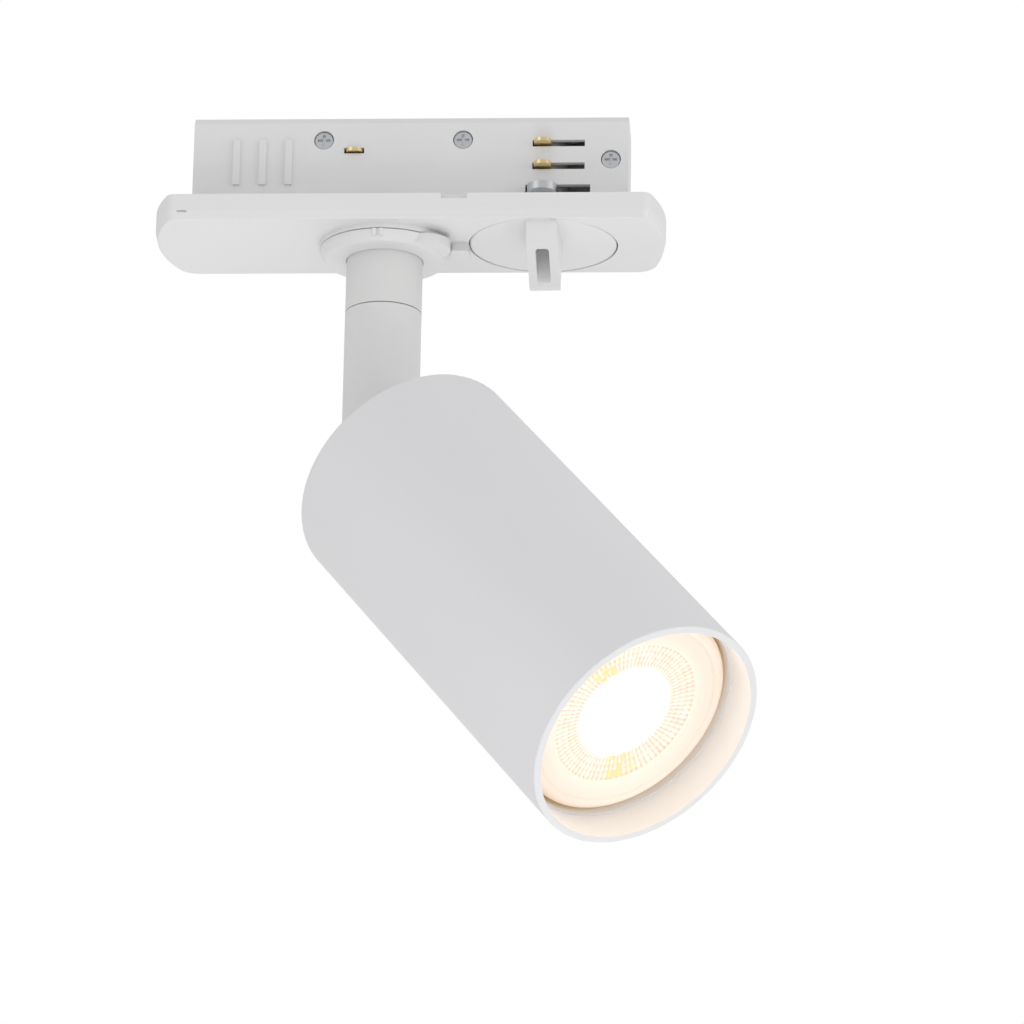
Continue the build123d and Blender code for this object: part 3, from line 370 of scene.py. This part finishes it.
def make_circuit_board():
    """Solder mask over copper tracks laid out on a square grid."""
    tree, given, result = new_effect("circuit_board", [
        ("Colour", "Color", (0.8, 0.8, 0.8, 1.0)), ("Track", "Color", (0.7, 0.7, 0.68, 1.0)),
        ("Roughness", "Float", 0.35)])
    track_scale, track_width, track_dulling = 160.0, 0.06, 0.2
    tracks = tree.nodes.new("ShaderNodeTexBrick")
    tracks.inputs["Scale"].default_value = track_scale
    tracks.inputs["Mortar Size"].default_value = track_width
    plug(tree, own_place(tree), tracks.inputs["Vector"])
    plug(tree, given.outputs["Colour"], tracks.inputs["Color1"])
    plug(tree, given.outputs["Colour"], tracks.inputs["Color2"])
    plug(tree, given.outputs["Track"], tracks.inputs["Mortar"])
    plug(tree, tracks.outputs["Color"], result.inputs["Colour"])
    dulled = varied(tree, given.outputs["Roughness"], track_dulling, tracks.outputs["Fac"])
    plug(tree, dulled, result.inputs["Roughness"])
    plug(tree, tracks.outputs["Fac"], result.inputs["Height"])
    return tree


circuit_board = make_circuit_board()
dress(surface("led_board_mask", circuit_board, 0.00003, {
    "Colour": (0.82, 0.82, 0.80, 1.0), "Track": (0.70, 0.70, 0.66, 1.0)}), "led_board")
dress(surface("driver_board_mask", circuit_board, 0.00003, {
    "Colour": (0.05, 0.20, 0.08, 1.0), "Track": (0.12, 0.32, 0.14, 1.0)}), "lamp_driver")
phosphor = surface("led_phosphor", moulded_skin, 0.00001, {
    "Colour": (0.90, 0.62, 0.10, 1.0), "Drift": 0.15, "Roughness": 0.5, "Grain Size": 0.0002},
    [("Emission Color", (1.0, 0.72, 0.25, 1.0)), ("Emission Strength", 1.5)])
dress(phosphor, "led_chips")

# ------------------------------------------------------------------ lamp bezel
# The bezel is a soft white dome-edged ring that clips the lens to the shell. Its emission is a painted glow
# that stands in for the lens's light on the plastic, brightest at its thin outer edge.

head_joint = next(joint for joint in frame["joints"] if joint["name"] == "head_tilt")
lamp_joint = next(joint for joint in frame["joints"] if joint["name"] == "lamp_twist")
pivot = Vector(head_joint["pos_m"])
head_x = Vector(head_joint["axis"])
head_z = Vector(lamp_joint["axis"])
head_y = head_z.cross(head_x)
head_place = Matrix.Translation(pivot) @ Matrix((head_x, head_y, head_z)).transposed().to_4x4()


def along_head(node):
    """Lowest and highest place of a node along the head's axis, and its reach from the axis."""
    places = [head_place.inverted() @ vertex.co for vertex in frame["nodes"][node].data.vertices]
    heights = [place.z for place in places]
    return min(heights), max(heights), max(Vector(place[:2]).length for place in places)


def ring_mesh(name, rings, steps, closed):
    """Mesh of rings of points (x, y, z) joined by quads, given in the head's frame."""
    points = [point for ring in rings for point in ring]
    count = len(rings)
    faces = []
    for row in range(count if closed else count - 1):
        for step in range(steps):
            here, there = row * steps, (row + 1) % count * steps
            after = (step + 1) % steps
            faces.append((here + step, here + after, there + after, there + step))
    mesh = bpy.data.meshes.new(name)
    mesh.from_pydata(points, [], faces)
    mesh.transform(head_place)
    mesh.update()
    piece = bpy.data.objects.new(name, mesh)
    bpy.context.scene.collection.objects.link(piece)
    for polygon in mesh.polygons:
        polygon.use_smooth = True
    return piece


def turned(name, profile, steps=192):
    """Ring turned about the head's axis from a closed profile of (radius, place along the axis)."""
    rings = [[(radius * cos(tau * step / steps), radius * sin(tau * step / steps), height)
              for step in range(steps)] for radius, height in profile]
    return ring_mesh(name, rings, steps, True)


def quarter(centre_radius, centre_height, radius, first, last, steps):
    """Points on a round corner of the profile, from one angle to another in degrees."""
    turns = [(first + (last - first) * step / steps) * pi / 180 for step in range(steps + 1)]
    return [(centre_radius + radius * cos(turn), centre_height + radius * sin(turn)) for turn in turns]


bezel_back, bezel_front, bezel_reach = along_head("lamp_bezel")
lens_back, lens_front, lens_reach = along_head("lamp_lens")
bezel_corner = 0.0020
lip_drop = 0.0005
lip_width = 0.00025
lip_fall = 0.0002
lip_rise = 0.00012
dome_steps = 9
dome_rise = 0.00034
groove_width = 0.0011
groove_depth = 0.00022
groove_start, groove_end = 0.00018, 0.00036
edge_start = 0.00052
edge_drop = 0.00004
corner_first, corner_last, corner_steps = 86, 0, 8
inner_lip = bezel_front - lip_drop
dome_start = lens_reach + lip_width
dome_end = bezel_reach - bezel_corner - groove_width
bezel_profile = [(lens_reach, bezel_back), (lens_reach, inner_lip - lip_fall),
                 (dome_start, inner_lip + lip_rise)]
for step in range(1, dome_steps + 1):
    part = step / dome_steps
    bezel_profile.append((dome_start + (dome_end - dome_start) * part,
                          inner_lip + lip_rise + dome_rise * sin(part * pi / 2)))
bezel_profile += [(dome_end + groove_start, bezel_front - groove_depth),
                  (dome_end + groove_end, bezel_front - groove_depth),
                  (dome_end + edge_start, bezel_front - edge_drop)]
bezel_profile += quarter(bezel_reach - bezel_corner, bezel_front - bezel_corner, bezel_corner,
                         corner_first, corner_last, corner_steps)
bezel_profile += [(bezel_reach, bezel_back)]
bezel = turned("bezel_ring", bezel_profile)
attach(bezel, "lamp")
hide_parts("lamp_bezel")


def around_head(tree):
    """Distance from the head's axis, and the angle round it."""
    across = []
    for direction in (head_x, head_y):
        dot = tree.nodes.new("ShaderNodeVectorMath")
        dot.operation = "DOT_PRODUCT"
        plug(tree, own_place(tree), dot.inputs[0])
        plug(tree, direction, dot.inputs[1])
        across.append(maths(tree, "SUBTRACT", dot.outputs["Value"], pivot.dot(direction)))
    squares = [maths(tree, "POWER", part, 2.0) for part in across]
    radius = maths(tree, "SQRT", maths(tree, "ADD", *squares))
    return radius, maths(tree, "ARCTAN2", across[1], across[0])


def stepped(tree, value, low, high):
    """Smooth rise from 0 to 1 as the value goes from low to high."""
    node = tree.nodes.new("ShaderNodeMapRange")
    node.interpolation_type = "SMOOTHSTEP"
    plug(tree, value, node.inputs["Value"])
    node.inputs["From Min"].default_value = low
    node.inputs["From Max"].default_value = high
    return node.outputs["Result"]


bezel_painted_glow = surface("bezel_painted_glow", moulded_skin, 0.000004, {
    "Colour": (0.80, 0.775, 0.72, 1.0), "Drift": 0.02, "Roughness": 0.30, "Grain Size": 0.001},
    [("Emission Strength", 1.0)])
painted_glow_tree = bezel_painted_glow.node_tree
bezel_radius, _ = around_head(painted_glow_tree)
# Painted light: the bezel's emission is a painted glow, faint over its face, brighter next to the lens and
# brightest at its thin outer edge.
face_painted_light, near_lens_painted_light = (0.25, 0.14, 0.07, 1.0), (0.29, 0.18, 0.10, 1.0)
edge_painted_light = (0.28, 0.17, 0.07, 1.0)
edge_inside, edge_outside, painted_glow_width = 0.0009, 0.0001, 0.004
on_edge = stepped(painted_glow_tree, bezel_radius, bezel_reach - edge_inside, bezel_reach - edge_outside)
near_lens = stepped(painted_glow_tree, bezel_radius, lens_reach + painted_glow_width, lens_reach)
face_painted_glow = blended(painted_glow_tree, near_lens, face_painted_light, near_lens_painted_light)
plug(painted_glow_tree, blended(painted_glow_tree, on_edge, face_painted_glow, edge_painted_light),
     painted_glow_tree.nodes["Principled BSDF"].inputs["Emission Color"])
bezel.data.materials.append(bezel_painted_glow)

# ------------------------------------------------------------------ lens
# The lens is one clear acrylic moulding. Its middle is a smooth disc over the brightest LEDs, and
# round it run four rows of small pillow facets that spread the light.

lens_ribs = 84
lens_rows = 4
rib_steps = 6
row_steps = 5
disc_radius = 0.0108
facet_rise = 0.00030
facet_sink = 0.0005
facet_dish = 0.0004
facet_margin = 0.0003
disc_drop = 0.0003
disc_dish = 0.0002
disc_parts = (0.99, 0.94, 0.8, 0.6, 0.4, 0.2, 0.02)
side_gap = 0.00002
side_drop = 0.0001
lens_steps = lens_ribs * rib_steps
facet_reach = lens_reach - facet_margin
disc_top = lens_front - disc_drop


def lens_point(radius, step, height):
    """Point of the lens, by its distance from the axis, step round it and place along it."""
    turn = tau * step / lens_steps
    return (radius * cos(turn), radius * sin(turn), height)


def pillow(part):
    """Rounded hump from 0 to 1 and back to 0 over one facet."""
    return 1.0 - (2.0 * part - 1.0) ** 2


lens_rings = [[lens_point(lens_reach - side_gap, step, height) for step in range(lens_steps)]
              for height in (lens_back, lens_front - side_drop)]
for level in range(lens_rows * row_steps + 1):
    outward = 1.0 - level / (lens_rows * row_steps)
    radius = disc_radius + (facet_reach - disc_radius) * outward
    base = disc_top - facet_sink + facet_dish * outward ** 2
    row_part = level / row_steps % 1.0
    shift = rib_steps / 2 if level // row_steps % 2 else 0.0
    lens_rings.append([lens_point(
        radius, step, base + facet_rise * pillow(row_part) * pillow((step + shift) / rib_steps % 1.0))
        for step in range(lens_steps)])
for part in disc_parts:
    lens_rings.append([lens_point(disc_radius * part, step, disc_top - disc_dish * part ** 6)
                       for step in range(lens_steps)])
lens = ring_mesh("lens_moulding", lens_rings, lens_steps, False)
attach(lens, "lamp")
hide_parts("lamp_lens")


facet_dark, facet_light = (0.50, 0.35, 0.24, 1.0), (0.95, 0.86, 0.78, 1.0)
golden_light, disc_light = (0.92, 0.60, 0.20, 1.0), (6.0, 4.7, 3.3, 1.0)
facet_acrylic, disc_acrylic = (0.30, 0.26, 0.20, 1.0), (0.6, 0.58, 0.55, 1.0)
rib_share, row_share, chance_share = 0.55, 0.20, 0.25
golden_angles = (-32.0, 122.0)
golden_outside, golden_inside = 0.36, 0.10
golden_rare, golden_sure = 0.15, 0.75
disc_edge_outside, disc_edge_inside = 0.0006, 0.0004
lens_roughness, facet_dulling = 0.10, 0.15


def lens_material():
    """Lit acrylic: a glowing disc, tinted facets round it, and phosphor that shows in two places."""
    material = bpy.data.materials.new("lit_lens")
    material.use_nodes = True
    tree = material.node_tree
    shader = tree.nodes["Principled BSDF"]
    radius, turn = around_head(tree)
    rib_place = maths(tree, "MULTIPLY", turn, lens_ribs / tau)
    row_place = maths(tree, "DIVIDE", maths(tree, "SUBTRACT", radius, disc_radius),
                       (facet_reach - disc_radius) / lens_rows)
    cell = tree.nodes.new("ShaderNodeCombineXYZ")
    crowns = []
    for axis, place in (("X", rib_place), ("Y", row_place)):
        plug(tree, maths(tree, "FLOOR", place), cell.inputs[axis])
        half_turn = maths(tree, "MULTIPLY", maths(tree, "FRACT", place), pi)
        crowns.append(maths(tree, "SINE", half_turn))
    chance = tree.nodes.new("ShaderNodeTexWhiteNoise")
    chance.noise_dimensions = "3D"
    plug(tree, cell.outputs[0], chance.inputs["Vector"])
    rib_tone = maths(tree, "MULTIPLY", crowns[0], rib_share)
    row_tone = maths(tree, "MULTIPLY", crowns[1], row_share)
    chance_tone = maths(tree, "MULTIPLY", chance.outputs["Value"], chance_share)
    tone = maths(tree, "ADD", rib_tone, maths(tree, "ADD", row_tone, chance_tone))
    facets = blended(tree, tone, facet_dark, facet_light)
    patches = []
    for angle in golden_angles:
        away = maths(tree, "ABSOLUTE", maths(tree, "SUBTRACT", turn, angle * pi / 180))
        patches.append(stepped(tree, away, golden_outside, golden_inside))
    golden = maths(tree, "MULTIPLY", maths(tree, "MAXIMUM", *patches),
                   stepped(tree, chance.outputs["Value"], golden_rare, golden_sure))
    facets = blended(tree, golden, facets, golden_light)
    on_disc = stepped(tree, radius, disc_radius + disc_edge_outside, disc_radius - disc_edge_inside)
    plug(tree, blended(tree, on_disc, facets, disc_light), shader.inputs["Emission Color"])
    plug(tree, 1.0, shader.inputs["Emission Strength"])
    plug(tree, blended(tree, on_disc, facet_acrylic, disc_acrylic), shader.inputs["Base Color"])
    dulling = maths(tree, "MULTIPLY", chance.outputs["Value"], facet_dulling)
    plug(tree, maths(tree, "ADD", lens_roughness, dulling), shader.inputs["Roughness"])
    return material


lens.data.materials.append(lens_material())

# ------------------------------------------------------------------ studio
# The light hangs in a plain white studio, over a pale floor that lies well below it. Soft panels
# stand to the left and right, two more face up from just above the floor, and the camera looks up
# at the light from below.

studio = bpy.context.scene
studio.view_settings.view_transform = "Standard"
floor_mesh = bpy.data.meshes.new("studio_floor")
floor_half = 4.0
floor_height = -0.65
floor_mesh.from_pydata([(x * floor_half, y * floor_half, floor_height)
                        for x, y in ((-1, -1), (1, -1), (1, 1), (-1, 1))], [], [(0, 1, 2, 3)])
floor = bpy.data.objects.new("studio_floor", floor_mesh)
studio.collection.objects.link(floor)
floor.data.materials.append(surface("floor_paper", moulded_skin, 0.0002, {
    "Colour": (0.85, 0.85, 0.85, 1.0), "Drift": 0.01, "Roughness": 0.9, "Grain Size": 0.004}))

wall_light, seen_white = (0.72, 0.72, 0.73, 1.0), (1.0, 1.0, 1.0, 1.0)
world = bpy.data.worlds.new("white_studio")
studio.world = world
world.use_nodes = True
sky = world.node_tree
seen = blended(sky, sky.nodes.new("ShaderNodeLightPath").outputs["Is Camera Ray"],
               wall_light, seen_white)
plug(sky, seen, sky.nodes["Background"].inputs["Color"])

for name, place, size, power in (("left_panel", (-1.1, -1.0, 0.5), 0.9, 1.7),
                                 ("right_panel", (1.3, -0.5, 0.0), 0.8, 3.3),
                                 ("low_panel", (0.02, -0.30, -0.62), 0.5, 1.45),
                                 ("back_panel", (0.08, 0.35, -0.60), 0.5, 1.2)):
    light = bpy.data.lights.new(name, "AREA")
    light.size = size
    light.energy = power
    panel = bpy.data.objects.new(name, light)
    panel.location = place
    panel.rotation_euler = (-Vector(place)).to_track_quat("-Z", "Y").to_euler()
    studio.collection.objects.link(panel)

camera_data = bpy.data.cameras.new("camera")
camera_data.lens = 186.43
camera_data.sensor_width = 36.0
camera_data.clip_end = 20.0
camera = bpy.data.objects.new("camera", camera_data)
camera_place = (0.09980, -1.13432, -0.44439)
camera_turn, camera_lift, camera_roll = 0.0612, 0.318, 0.018
camera.matrix_world = (Matrix.Translation(camera_place)
                       @ Matrix.Rotation(camera_turn, 4, "Z")
                       @ Matrix.Rotation(pi / 2 + camera_lift, 4, "X")
                       @ Matrix.Rotation(camera_roll, 4, "Z"))
studio.collection.objects.link(camera)
studio.camera = camera
